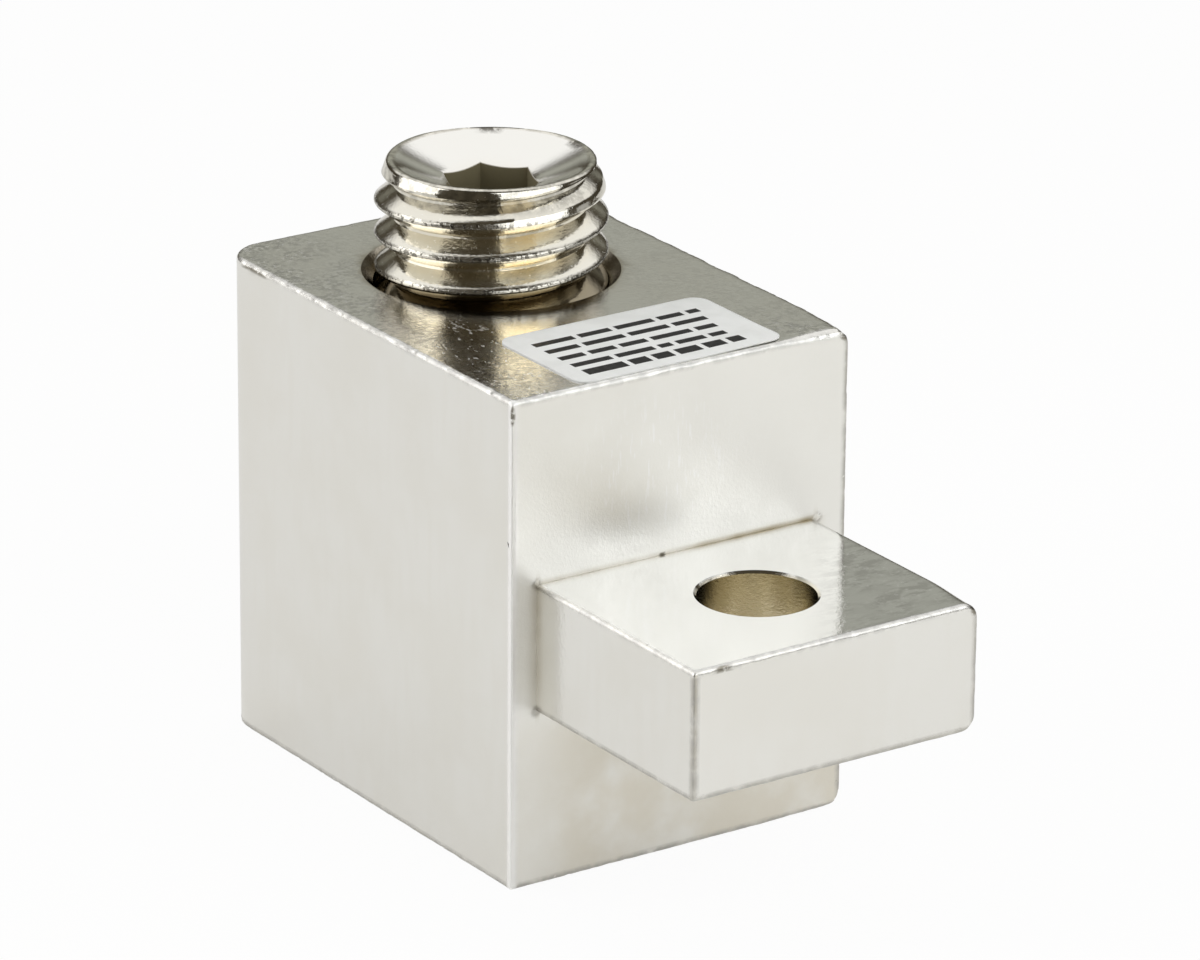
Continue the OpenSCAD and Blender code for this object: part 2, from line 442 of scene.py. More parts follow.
# Wear: how much of its rounding an edge has, from long and short lumps along it
def wornEdge(p, s):
    longSize, shortSize = s["wearSize"]
    longRange, shortRange = s["wearRange"]
    return s["wear"] + longRange * lumpy(p, longSize, 17) + shortRange * (lumpy(p, shortSize, 19) - 0.5)


def softenEdges(p, s):
    e, low, side = s["edgeBreak"], s["lowBreak"], s["sideRound"]
    back, rear = s["backRound"], s["rearRound"]
    onBlock = p[:, 0] <= frontX + 1e-6
    onFront = np.abs(p[:, 0] - frontX) < 1e-6
    inFootprint = onFront & (np.abs(p[:, 1]) < palmHalf + 1e-6) & (np.abs(p[:, 2]) < palmTop + 1e-6)
    block = p[onBlock & ~inFootprint]
    atFront = smooth(blockHigh[0] - s["knockedReach"], blockHigh[0], block[:, 0])
    atRight = smooth(*s["knockedSide"], block[:, 1])
    worn = wornEdge(block, s) * (1 + s["knocked"] * atFront * atRight)
    corners = (back, s["frontBreak"], low, back)
    threeSides = (True, False, True, True)
    roundCorners(block, 2, blockLow, blockHigh, corners)
    roundRim(block, 2, blockLow, blockHigh, True, corners, threeSides, (rear, e, e, side), worn)
    roundRim(block, 2, blockLow, blockHigh, False, corners, threeSides, (low, low, low, side), worn)
    for atTop, r in ((0, low), (1, e)):  # the front rims, bottom and top
        u = blockHigh[0] - block[:, 0]
        v = blockHigh[2] - block[:, 2] if atTop else block[:, 2] - blockLow[2]
        u, v = roundEdge(u, v, r * worn)
        block[:, 0] = blockHigh[0] - u
        block[:, 2] = blockHigh[2] - v if atTop else blockLow[2] + v
    palm = p[~onBlock | inFootprint]
    worn = wornEdge(palm, s)
    atFront = smooth(palmHigh[0] - s["knockedReach"], palmHigh[0], palm[:, 0])
    side = side * (1 + s["knocked"] * atFront)
    corners = (low, side, side, e)
    roundCorners(palm, 0, palmLow, palmHigh, corners)
    roundRim(palm, 0, palmLow, palmHigh, True, corners, (True,) * 4, (low, low, low, e), worn)
    p[onBlock & ~inFootprint] = block
    p[~onBlock | inFootprint] = palm
    return p


# Knocks along the edges: lumpy noise over a threshold goes inwards, a little of the rest stands up as burr
def nickEdges(mesh, s):
    p, n = readPoints(mesh), readVectors(mesh, "normal")
    away = np.min([d for _, d in edgeDistances(p)[:6]], axis=0)
    near = smooth(*s["nickReach"], away)
    knock = smooth(0.62, 0.95, lumpy(p, s["nickSize"], 3)) * smooth(0.35, 0.7, lumpy(p, 4.5, 11))
    fineKnock = smooth(0.6, 0.95, lumpy(p, s["nickSize"] * 0.45, 5))
    burr = smooth(0.45, 0.9, lumpy(p, s["nickSize"] * 0.6, 8))
    depth = near * (s["nickDepth"] * knock + 0.35 * s["nickDepth"] * fineKnock - s["burrHeight"] * burr)
    writePoints(mesh, p - n * depth[:, None])


# A turned cutter: a profile of radius and height carried round an axis
def lathe(name, profile, centre, axis, columns=128):
    r, h = np.array(profile, float).T
    turn = np.linspace(0, 2 * np.pi, columns + 1)
    grid = np.empty((len(r), columns + 1, 3))
    a, b = [k for k in range(3) if k != axis]
    grid[..., a] = centre[a] + r[:, None] * np.cos(turn)
    grid[..., b] = centre[b] + r[:, None] * np.sin(turn)
    grid[..., axis] = h[:, None]
    return addPiece(name, weldGrids(name, [grid]))


def drill(piece, cutters):
    for cutter in cutters:
        cut = piece.modifiers.new(cutter.name, "BOOLEAN")
        cut.operation, cut.solver, cut.object = "DIFFERENCE", "EXACT", cutter
    bpy.context.view_layer.update()
    done = bpy.data.meshes.new_from_object(piece.evaluated_get(bpy.context.evaluated_depsgraph_get()))
    piece.modifiers.clear()
    piece.data = done
    for cutter in cutters:
        bpy.data.objects.remove(cutter)


def holeCutters(s):
    boltR, boreR = mounts["palm_hole"]["dims"]["r_mm"], mounts["cable_bore"]["dims"]["r_mm"]
    past, over = 1.0, s["boltChamfer"]
    bolt = [(0, -palmTop - past), (boltR + over + past, -palmTop - past), (boltR, -palmTop + over),
            (boltR, palmTop - over), (boltR + over + past, palmTop + past), (0, palmTop + past)]
    top, mouth, holeR = blockHigh[2], s["screwMouth"], s["screwHoleR"]
    screwHole = [(0, boreSpot[2]), (holeR, boreSpot[2]), (holeR, top - mouth),
                 (holeR + mouth + past, top + past), (0, top + past)]
    back, deep = blockLow[0], blockLow[0] + s["boreDepth"]
    point = deep + boreR / math.tan(math.radians(s["pointAngle"] / 2))
    bore = [(0, back - past), (boreR + s["boreChamfer"] + past, back - past),
            (boreR, back + s["boreChamfer"]), (boreR, deep), (0, point)]
    return [
        lathe("boltCutter", bolt, (0, 0, 0), 2),
        lathe("screwHoleCutter", screwHole, screwSpot, 2, 160),
        lathe("boreCutter", bore, boreSpot, 0, 160),
    ]


# Where each tint of the plate lies on the body, from 0 to 1 at every point
def tintBody(mesh, s):
    p = readPoints(mesh)
    distances = edgeDistances(p)
    x, y, z = p.T
    away = np.min([d for _, d in distances[:6]], axis=0)
    fromRoot = np.min([d for _, d in distances[6:]], axis=0)
    onPalm = x > frontX + 0.02
    upper = np.where(onPalm, palmTop, blockHigh[2]) - z < 0.6
    addAttribute(mesh, "edge", smooth(*s["edgeTint"], away))
    # painted highlight: the front left upright of the block turns white, and it is rougher there
    frontCorner = np.where(onPalm, farOff, np.hypot(frontX - x, y - blockLow[1]))
    frostAndHighlight = smooth(*s["frostTint"], frontCorner)
    addAttribute(mesh, "frostAndHighlight", frostAndHighlight)
    # painted shade: darker along the lower edges, not the upper ones nor the front left upright
    addAttribute(mesh, "lowEdgeShade", smooth(*s["lineTint"], away) * ~upper * (1 - frostAndHighlight))
    # painted shade, brownish, in the inner corner where the palm leaves the block: it grows to the right
    # along the top and is even down the side
    onTop = smooth(0.6, 0.05, fromRoot) * (0.3 + 0.6 * smooth(-6, 11, y))
    brownShade = np.where(np.abs(y) < palmHalf - 0.3, onTop, 0.34 * smooth(1.3, 0.0, fromRoot))
    addAttribute(mesh, "root", brownShade * (0.6 + 0.6 * lumpy(p, 1.3, 31)))
    addAttribute(mesh, "mark", spotShare(p, s["marks"], 0.6))
    # painted shade, brownish, in the chamfer of the screw hole and faintly in a ring round it
    fromScrew = np.hypot(x - screwSpot[0], y - screwSpot[1])
    mouthR = s["screwHoleR"] + s["screwMouth"]
    inMouth = smooth(mouthR + 0.15, mouthR - 0.1, fromScrew)
    roundMouth = smooth(mouthR + 1.3, mouthR, fromScrew)
    addAttribute(mesh, "mouth", (0.75 * inMouth + 0.2 * roundMouth) * (z > 0))
    # the front face of the block, which is painted lighter, a painted light, and made rougher
    onFront = smooth(0.3, 0.02, np.abs(x - frontX))
    addAttribute(mesh, "front", onFront)
    # painted shade and reflection: low on the front under the palm the plate turns warmer and darker, less so
    # at the left
    fromLeft = 0.25 + 0.75 * smooth(1.0, 9.0, y - blockLow[1])
    addAttribute(mesh, "shadeUnderPalm", onFront * fromLeft * smooth(-palmTop + 1.0, -palmTop - 3.0, z))
    addAttribute(mesh, "scuff", onFront * spotShare(p[:, 1:], [s["scuff"]], 0.3))
    level = np.minimum(np.abs(z - blockHigh[2]), np.abs(z - palmTop) + 9.0 * ~onPalm) < 0.03
    atLeft = smooth(*s["spottyLeft"], y - blockLow[1])
    nearScrew = s["spotty"] * smooth(17.0, 13.0, np.hypot(x - screwSpot[0] - 8.0, y - screwSpot[1] + 6.0))
    frontRight = s["spottyRight"] * smooth(*s["rightX"], x) * smooth(*s["rightY"], y)
    onBlock = s["spotty"] + (1 - s["spotty"]) * atLeft - nearScrew + frontRight
    besideEdge = s["spottyPalm"] * smooth(*s["palmEdge"], y + s["palmSlant"] * (x - frontX))
    addAttribute(mesh, "level", level * np.where(onPalm, besideEdge, onBlock))
    addAttribute(mesh, "palm", onPalm * (z > palmTop - 0.03))
    # painted reflection: the front left corner of the top turns near white
    inCorner = smooth(*s["brightX"], x) * smooth(*s["brightY"], y)
    addAttribute(mesh, "paintedReflection", inCorner * (z > blockHigh[2] - 0.03))
    smear, specks = (spotShare(p[:, :2], [s[name]], 0.5) for name in ("smear", "specks"))
    addAttribute(mesh, "scratch", (z > palmTop + 1) * np.maximum(smear, s["speckShare"] * specks))
    inHole = np.hypot(x, y) < mounts["palm_hole"]["dims"]["r_mm"] + 0.05
    addAttribute(mesh, "hole", inHole.astype(float))


def buildBody(s):
    mesh = sharpBlank(s)
    refineEdges(mesh, s)
    writePoints(mesh, softenEdges(readPoints(mesh), s))
    nickEdges(mesh, s)
    body = addPiece("clampBody", mesh)
    drill(body, holeCutters(s))
    tintBody(body.data, s)
    shadeSmooth(body.data, s["crease"])
    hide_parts("clamp_body")
    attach(body, "lug")
    return body


body = buildBody(bodySet)
print("clamp body:", len(body.data.polygons), "faces")

# The clamping screw
screwSet = {
    "pitch": 3.2, "threadDepth": 1.8, "crest": 0.35, "root": 0.25, "start": 325.0, "crown": 0.06,
    "endChamfer": 1.2, "endSlope": 3.5, "rim": 0.6, "bead": 0.3, "dish": 2.0,
    "goldSide": -12.0, "goldSpread": 35.0,     # where the painted gold reflection in the thread is strongest
    "hexAcross": 8.0, "hexTurn": 40.0, "hexDepth": 9.0,
    "marks": [                           # dark patches on the rim: the middle and the reach of each
        ((-43.6, 9.3, 35.0), (1.3, 0.75, 0.8)), ((-52.2, 5.4, 35.0), (1.5, 1.9, 0.35)),
    ],
    "columns": 300, "flankRows": 5, "burr": 0.035, "burrSize": 0.75, "crease": 28.0,
}


# The thread's radius at a phase: 0 on the middle of the crest, half a turn at the middle of the root,
# straight flanks between, and the corners taken off the crest
def threadRadius(phase, s, outer):
    p = np.abs((phase + 0.5) % 1.0 - 0.5) * s["pitch"]
    flank = (s["pitch"] - s["crest"] - s["root"]) / 2
    t = np.clip((s["pitch"] / 2 - s["root"] / 2 - p) / flank, 0, 1)
    crown = s["crown"] * np.clip(p / (s["crest"] / 2), 0, 1) ** 2
    return outer - s["threadDepth"] * (1 - t) - crown * smooth(0.85, 1.0, t)


def buildScrew(s):
    top, tip = screwHigh[2], screwLow[2]
    outer = (screwHigh[1] - screwLow[1]) / 2
    turn = np.radians(s["hexTurn"]) + np.linspace(0, 2 * np.pi, s["columns"] + 1)
    crestLine = top + s["pitch"] * (turn - np.radians(s["start"])) / (2 * np.pi)

    # one helical grid: rows follow the thread, columns stand round the axis, ends are cut level
    half = s["pitch"] / 2
    flank = np.linspace(s["crest"] / 2, half - s["root"] / 2, s["flankRows"] + 2)
    side = np.concatenate([[0.0, s["crest"] / 4], flank])
    oneTurn = np.concatenate([-side[:0:-1], side]) / s["pitch"]
    turns = np.arange(-math.ceil((top - tip) / s["pitch"]) - 2, 3)
    rows = (turns[:, None] + oneTurn[None, :]).ravel()
    z = np.clip(crestLine[None, :] + s["pitch"] * rows[:, None], tip, top - s["bead"])
    beadRows = top - s["bead"] * (1 - np.sin(np.linspace(0, np.pi / 2, 7)[1:]))
    z = np.concatenate([z, np.broadcast_to(beadRows[:, None], (len(beadRows), z.shape[1]))])
    phase = (z - crestLine[None, :]) / s["pitch"]
    r = threadRadius(phase, s, outer)
    spots = np.stack([outer * np.cos(turn)[None, :] + 0 * z, outer * np.sin(turn)[None, :] + 0 * z, z], -1)
    onCrest = smooth(outer - 0.9, outer - 0.1, r)
    r = r + onCrest * s["burr"] * (lumpy(spots.reshape(-1, 3), s["burrSize"], 21).reshape(r.shape) - 0.75)
    # both ends are cut back to a cone, and the top rim of it is rounded over
    fromEnd = np.minimum(top - z, z - tip)
    cone = outer - s["endChamfer"] * np.clip(1 - fromEnd / s["endSlope"], 0, 1)
    over = np.clip(1 - (top - z) / s["bead"], 0, 1)
    r = np.minimum(r, cone - s["bead"] * (1 - np.sqrt(1 - over ** 2)))

    def ring(radius, height):            # one row of points round the axis
        x, y = screwSpot[0] + radius * np.cos(turn), screwSpot[1] + radius * np.sin(turn)
        return np.stack([x, y, np.broadcast_to(height, turn.shape)], -1)

    thread = np.stack([ring(r[k], z[k]) for k in range(len(z))])
    endR = outer - s["endChamfer"]
    dishR = endR - s["rim"]
    corner = s["hexAcross"] / math.sqrt(3)
    hexR = s["hexAcross"] / 2 / np.cos((turn - np.radians(s["hexTurn"])) % (np.pi / 3) - np.pi / 6)

    def dishAt(radius):                  # the dish is a shallow cone, a touch hollow
        t = (dishR - radius) / (dishR - corner)
        return top - s["dish"] * t - 0.1 * np.sin(np.pi * np.clip(t, 0, 1))

    floor = top - s["dish"] - s["hexDepth"]
    lip = 0.12
    head = [ring(r[-1], top), ring(np.minimum(r[-1], dishR + 0.12), top - 0.01), ring(dishR, top - 0.045)]
    for t in np.linspace(0.06, 1, 9):
        radius = dishR + (hexR + lip - dishR) * t
        head.append(ring(radius, dishAt(radius)))
    head.append(ring(hexR + 0.02, dishAt(hexR + lip) - 0.1))
    head += [ring(hexR, h) for h in np.linspace(top - s["dish"] - 0.6, floor, 7)]
    head += [ring(hexR * 0.5, floor), ring(0.0, floor)]
    foot = [ring(r[0], tip), ring(r[0] * 0.5, tip), ring(0.0, tip)]
    mesh = weldGrids("clampingScrew", [thread, np.stack(head), np.stack(foot)])
    p = readPoints(mesh)
    fromAxis = np.hypot(p[:, 0] - screwSpot[0], p[:, 1] - screwSpot[1])
    addAttribute(mesh, "crest", smooth(outer - 0.3, outer - 0.06, fromAxis))
    # painted reflection: the thread's valleys turn gold, most at one side and further down
    inThread = smooth(outer - 0.5, outer - 1.5, fromAxis) * smooth(1.5, 3.0, top - p[:, 2])
    fromGold = (np.degrees(np.arctan2(*(p - screwSpot)[:, 1::-1].T)) - s["goldSide"] + 180) % 360 - 180
    lower = 0.6 + 0.4 * smooth(2.5, 9.0, top - p[:, 2])
    goldShare = 0.35 + 0.65 * np.exp(-(fromGold / s["goldSpread"]) ** 2)
    addAttribute(mesh, "valleyReflection", inThread * lower * goldShare)
    outside = smooth(dishR - 0.05, dishR - 0.02, fromAxis)
    addAttribute(mesh, "outside", outside)
    addAttribute(mesh, "rim", outside * smooth(2.8, 1.8, top - p[:, 2]))
    addAttribute(mesh, "mark", spotShare(p, s["marks"], 0.5) * (fromAxis > dishR - 1.0))
    # painted shade, brownish, on the thread from just above the top of the block down into the hole
    addAttribute(mesh, "sunkenShade", outside * smooth(blockHigh[2] + 1.4, blockHigh[2] + 0.2, p[:, 2]))
    around = np.arctan2(p[:, 1] - screwSpot[1], p[:, 0] - screwSpot[0]) - np.radians(s["hexTurn"])
    hexAt = s["hexAcross"] / 2 / np.cos(around % (np.pi / 3) - np.pi / 6)
    # painted shade: the hex socket is a dark matte olive
    addAttribute(mesh, "socket", (fromAxis < hexAt + lip / 2).astype(float))
    shadeSmooth(mesh, s["crease"])
    screw = addPiece("clampingScrew", mesh)
    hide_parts("clamping_screw")
    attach(screw, "screw")
    return screw


screw = buildScrew(screwSet)
print("clamping screw:", len(screw.data.polygons), "faces")

# The label: white film with plain dark bars
labelSet = {
    "width": 22.6, "depth": 14.0, "corner": 1.6, "turn": 0.2, "thick": 0.12,
    "lift": 0.1,                         # how far the front right corner has come up
    "rows": 5, "rowPitch": 2.1, "firstRow": 2.3, "margin": 2.0, "seed": 12,
    "barHeight": 0.95, "barLength": (1.4, 4.6), "barGap": 0.55, "firstTaller": 1.5, "ragged": 5.0,
    "fineStep": 0.15, "coarseStep": 0.5,
}


def buildLabel(s):
    rng = np.random.default_rng(s["seed"])
    halfD, halfW = s["depth"] / 2, s["width"] / 2
    bars = []                            # plain dark bars: low and high corner of each
    for row in range(s["rows"]):
        mid = halfD - s["firstRow"] - row * s["rowPitch"]
        tall = s["barHeight"] * (s["firstTaller"] if row == 0 else 1.0)
        at, end = -halfW + s["margin"], halfW - s["margin"] - rng.uniform(0, s["ragged"])
        while at < end - 1.0:
            long = min(rng.uniform(*s["barLength"]), end - at)
            bars.append((mid - tall / 2, at, mid + tall / 2, at + long))
            at += long + s["barGap"]
    bars = np.array(bars)

    def gridLines(half, barEnds):        # lines across the film, with one at each end of every bar
        even = gradedLine([-half, half], s["fineStep"], s["coarseStep"])
        return np.unique(np.round(np.concatenate([even, barEnds.ravel()]), 4))

    u, v = gridLines(halfD, bars[:, [0, 2]]), gridLines(halfW, bars[:, [1, 3]])
    grid = np.zeros((len(u), len(v), 3))
    grid[..., 0], grid[..., 1] = np.meshgrid(u, v, indexing="ij")
    cell = (grid[1:, 1:, :2] + grid[:-1, :-1, :2]) / 2
    ink = np.zeros(cell.shape[:2], bool)
    for lowX, lowY, highX, highY in bars:
        acrossBar = (cell[..., 0] > lowX) & (cell[..., 0] < highX)
        ink |= acrossBar & (cell[..., 1] > lowY) & (cell[..., 1] < highY)
    p = grid.reshape(-1, 3)
    size = np.array([halfD, halfW, 1.0])
    roundCorners(p, 2, -size, size, (s["corner"],) * 4)
    corner = smooth(0.35, 1.0, p[:, 0] / halfD) * smooth(0.1, 1.0, p[:, 1] / halfW)
    p[:, 2] = s["lift"] * corner
    c, t = math.cos(math.radians(s["turn"])), math.sin(math.radians(s["turn"]))
    middle = (labelLow + labelHigh) / 2
    across, deep = c * p[:, 0] - t * p[:, 1], t * p[:, 0] + c * p[:, 1]
    place = np.stack([middle[0] + across, middle[1] + deep, labelHigh[2] + p[:, 2]], 1)
    mesh = bpy.data.meshes.new("label")
    quads = gridFaces(len(u), len(v))
    mesh.from_pydata((place * mm).tolist(), [], quads.tolist())
    addAttribute(mesh, "ink", ink.ravel().astype(float), "FACE")
    mesh.polygons.foreach_set("use_smooth", np.ones(len(mesh.polygons), bool))
    film = addPiece("labelFilm", mesh)
    wall = film.modifiers.new("thickness", "SOLIDIFY")
    wall.thickness, wall.offset = s["thick"] * mm, -1
    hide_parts("label")
    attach(film, "lug")
    return film


film = buildLabel(labelSet)
print("label:", len(film.data.polygons), "faces")

# The finishes
plateSet = {
    # low, below: a warm darker colour, painted shade and reflection for the front under the palm
    "colour": (0.835, 0.825, 0.79, 1), "warm": (0.815, 0.80, 0.755, 1), "low": (0.81, 0.77, 0.68, 1),
    # the three colours that follow are painted shade: in the inner corner, along the lower edges, and in the
    # mouth of the screw hole
    "cornerShade": (0.40, 0.34, 0.22, 1), "lowEdgeShade": (0.55, 0.535, 0.49, 1), "brownShade": (0.30, 0.24, 0.14, 1),
    "hole": (0.76, 0.71, 0.58, 1), "dark": (0.22, 0.20, 0.16, 1), "dull": (0.48, 0.47, 0.455, 1),
    # of the colours below, the last is painted light for the front face, and the white fleck colour also
    # paints the highlight on the front left upright and the reflection on the top
    "palm": (0.745, 0.742, 0.725, 1), "fleck": (0.97, 0.965, 0.95, 1), "paintedFrontLight": (0.93, 0.922, 0.885, 1),
    "rough": (0.09, 0.15), "frontRough": (0.40, 0.48), "edgeRough": 0.36, "frostRough": 0.6,
    "hazeRough": 0.35, "palmEven": 0.45,     # the palm's top has this share of the roughness and the grain
    "grain": 0.32, "grainDepth": 0.02, "wave": 3.0, "waveDepth": 0.01,
}


def plateFinish(s):                      # satin tin plate over milled metal
    finish, tree, shader = newFinish("bodyPlate")
    place = placeOf(tree)
    upright = placeOf(tree, (1, 1, 0.13))    # drawn out up and down
    sideways = placeOf(tree, (1, 0.4, 1))    # across the palm
    lengthways = placeOf(tree, (0.45, 1, 1))   # along the lug
    edge, lowEdgeShade, root, mouth, mark, hole, frostAndHighlight = (
        attributeOf(tree, n) for n in ("edge", "lowEdgeShade", "root", "mouth", "mark", "hole", "frostAndHighlight"))
    front, shadeUnderPalm, scuff, level, scratch, palm, paintedReflection = (
        attributeOf(tree, n) for n in ("front", "shadeUnderPalm", "scuff", "level", "scratch", "palm", "paintedReflection"))
    cloud = noiseOf(tree, place, 9.0, 3.0, 0.55)
    grain = noiseOf(tree, place, s["grain"], 3.0, 0.6)
    speck = noiseOf(tree, place, 0.7, 2.0, 0.7)

    def tint(colour, share, noise, low, high, amount, target):   # another colour where the noise is high
        patch = timesOf(tree, share, spanOf(tree, noise, low, high, 0.0, amount))
        return blendOf(tree, patch, colour, s[target])

    colour = blendOf(tree, spanOf(tree, cloud, 0.35, 0.7), s["colour"], s["warm"])
    colour = tint(colour, 0.4, noiseOf(tree, upright, 1.5, 2.0), 0.45, 0.7, 1.0, "warm")
    # painted light: the front face is made lighter
    colour = blendOf(tree, timesOf(tree, front, 0.9), colour, s["paintedFrontLight"])
    # painted shade and reflection, warmer and darker, low on the front under the palm
    colour = tint(colour, shadeUnderPalm, noiseOf(tree, place, 5.0, 3.0), 0.1, 0.6, 0.9, "low")
    # painted shade along the lower edges
    colour = tint(colour, lowEdgeShade, noiseOf(tree, place, 1.5, 2.0), 0.05, 0.6, 1.0, "lowEdgeShade")
    colour = blendOf(tree, palm, colour, s["palm"])
    # painted reflection on the front left corner of the top
    colour = blendOf(tree, paintedReflection, colour, s["fleck"])
    # painted shade, brownish, in the inner corner and in the mouth of the screw hole
    colour = blendOf(tree, timesOf(tree, root, 0.85), colour, s["cornerShade"])
    colour = blendOf(tree, mouth, colour, s["brownShade"])
    mottle = spanOf(tree, noiseOf(tree, place, 4.0, 3.0), 0.32, 0.55, 0.2, 1.0)
    patchy = timesOf(tree, level, mottle)
    spotted = noiseOf(tree, place, 0.6, 3.0, 0.65)
    streaky = mathOf(tree, "SUBTRACT", noiseOf(tree, sideways, 1.0, 3.0, 0.65), spotted)
    spotted = mathOf(tree, "MULTIPLY_ADD", streaky, palm, spotted)   # spots, and streaks on the palm
    colour = tint(colour, patchy, spotted, 0.4, 0.6, 0.85, "dull")
    dusty = spanOf(tree, noiseOf(tree, place, 0.5, 2.0, 0.6), 0.52, 0.7, 0.0, 0.5)
    scraped = mathOf(tree, "MULTIPLY_ADD", scratch, 0.2, noiseOf(tree, lengthways, 0.4, 2.0, 0.6))
    scraped = timesOf(tree, spanOf(tree, scratch, 0.0, 0.3), spanOf(tree, scraped, 0.7, 0.8))
    haze = mathOf(tree, "MAXIMUM", timesOf(tree, patchy, dusty), scraped)
    colour = blendOf(tree, haze, colour, s["fleck"])
    colour = tint(colour, edge, noiseOf(tree, place, 0.5, 2.0, 0.6), 0.68, 0.76, 0.5, "dark")
    colour = tint(colour, edge, noiseOf(tree, place, 1.1, 3.0, 0.6), 0.35, 0.65, 0.5, "dull")
    # painted highlight on the front left upright
    colour = blendOf(tree, frostAndHighlight, colour, s["fleck"])
    colour = tint(colour, mark, noiseOf(tree, place, 0.6, 3.0, 0.6), 0.3, 0.5, 0.9, "dark")
    colour = tint(colour, scuff, noiseOf(tree, upright, 0.3, 2.0, 0.6), 0.58, 0.66, 0.9, "fleck")
    colour = blendOf(tree, hole, colour, s["hole"])
    feed(tree, shader, "Base Color", colour)
    shader.inputs["Metallic"].default_value = 1.0
    mixed = mathOf(tree, "ADD", timesOf(tree, cloud, 0.6), timesOf(tree, speck, 0.4))
    even = spanOf(tree, palm, 0.0, 1.0, 1.0, s["palmEven"], False)
    rough = timesOf(tree, spanOf(tree, mixed, 0.35, 0.68, *s["rough"]), even)
    frontRough = spanOf(tree, mixed, 0.35, 0.68, *s["frontRough"])
    rise = mathOf(tree, "SUBTRACT", frontRough, rough)
    rough = mathOf(tree, "MULTIPLY_ADD", rise, front, rough)
    rough = mathOf(tree, "MAXIMUM", rough, timesOf(tree, edge, s["edgeRough"]))
    rough = mathOf(tree, "MAXIMUM", rough, timesOf(tree, frostAndHighlight, s["frostRough"]))
    feed(tree, shader, "Roughness", mathOf(tree, "MULTIPLY_ADD", haze, s["hazeRough"], rough))
    grain = timesOf(tree, mathOf(tree, "SUBTRACT", grain, 0.5), even)
    bump = bumpOf(tree, grain, s["grainDepth"])
    feed(tree, shader, "Normal", bumpOf(tree, noiseOf(tree, place, s["wave"], 2.0), s["waveDepth"], bump))
    return finish


brightSet = {
    # the third colour below is a gold painted reflection in the thread's valleys
    "colour": (0.88, 0.866, 0.825, 1), "thread": (0.80, 0.77, 0.685, 1), "reflectedGold": (0.75, 0.655, 0.46, 1),
    # below, the socket colour is painted shade for the deep hex socket, and the worn colour is painted shade
    # that darkens the crests and damps their highlight
    "dark": (0.10, 0.09, 0.07, 1), "socket": (0.185, 0.16, 0.09, 1), "worn": (0.54, 0.52, 0.47, 1),
    # the second colour below is painted shade for the thread down in the hole
    "tarnish": (0.45, 0.43, 0.38, 1), "sunkenShadeColour": (0.20, 0.16, 0.09, 1), "fleck": (0.95, 0.94, 0.90, 1),
    "rough": (0.06, 0.11), "outsideRough": 0.03, "fleckRough": 0.3, "crestRough": 0.12, "socketRough": 0.85,
    "pitDepth": 0.012, "grainDepth": 0.009, "turnedDepth": 0.008, "unevenDepth": 0.014,
}


def brightFinish(s):                     # bright plate on the turned screw
    finish, tree, shader = newFinish("screwPlate")
    place = placeOf(tree)
    around = placeOf(tree, (0.12, 0.12, 1))   # drawn out round the screw
    names = ("crest", "valleyReflection", "socket", "outside", "rim", "mark", "sunkenShade")
    crest, valleyReflection, socket, outside, rim, mark, sunkenShade = (attributeOf(tree, n) for n in names)
    colour = blendOf(tree, outside, s["colour"], s["thread"])
    gold = spanOf(tree, noiseOf(tree, place, 4.0, 3.0), 0.3, 0.7, 0.6, 1.0)
    # painted reflection: gold in the thread's valleys
    colour = blendOf(tree, timesOf(tree, valleyReflection, gold), colour, s["reflectedGold"])
    # painted shade: the crests are made darker, which damps their highlight
    colour = blendOf(tree, timesOf(tree, crest, 0.8), colour, s["worn"])
    cloud = spanOf(tree, noiseOf(tree, place, 1.1, 3.0, 0.6), 0.38, 0.62, 0.15, 0.85)
    colour = blendOf(tree, timesOf(tree, rim, cloud), colour, s["tarnish"])
    # painted shade on the thread down in the hole
    colour = blendOf(tree, timesOf(tree, sunkenShade, 0.85), colour, s["sunkenShadeColour"])
    fleck = spanOf(tree, noiseOf(tree, place, 0.32, 2.0, 0.6), 0.66, 0.74, 0.0, 0.7)
    fleck = timesOf(tree, timesOf(tree, outside, fleck), mathOf(tree, "SUBTRACT", 1.0, sunkenShade))
    colour = blendOf(tree, fleck, colour, s["fleck"])
    pits = timesOf(tree, crest, spanOf(tree, noiseOf(tree, place, 0.5, 2.0, 0.6), 0.5, 0.58))
    colour = blendOf(tree, timesOf(tree, pits, 0.8), colour, s["dark"])
    patch = spanOf(tree, noiseOf(tree, place, 0.7, 3.0, 0.6), 0.35, 0.55, 0.2, 0.9)
    colour = blendOf(tree, timesOf(tree, mark, patch), colour, s["dark"])
    # painted shade: the hex socket turns dark matte olive
    colour = blendOf(tree, socket, colour, s["socket"])
    feed(tree, shader, "Base Color", colour)
    feed(tree, shader, "Metallic", mathOf(tree, "SUBTRACT", 1.0, socket))
    rough = spanOf(tree, noiseOf(tree, place, 1.2, 3.0), 0.3, 0.7, *s["rough"])
    for share, more in ((outside, "outsideRough"), (fleck, "fleckRough"),
                        (crest, "crestRough"), (socket, "socketRough")):
        rough = mathOf(tree, "MULTIPLY_ADD", share, s[more], rough)
    feed(tree, shader, "Roughness", rough)
    turned = timesOf(tree, outside, noiseOf(tree, around, 0.22, 2.0))
    uneven = timesOf(tree, outside, noiseOf(tree, place, 0.9, 3.0))
    bump = bumpOf(tree, pits, s["pitDepth"])
    bump = bumpOf(tree, noiseOf(tree, place, 0.27, 2.0), s["grainDepth"], bump)
    bump = bumpOf(tree, turned, s["turnedDepth"], bump)
    feed(tree, shader, "Normal", bumpOf(tree, uneven, s["unevenDepth"], bump))
    return finish


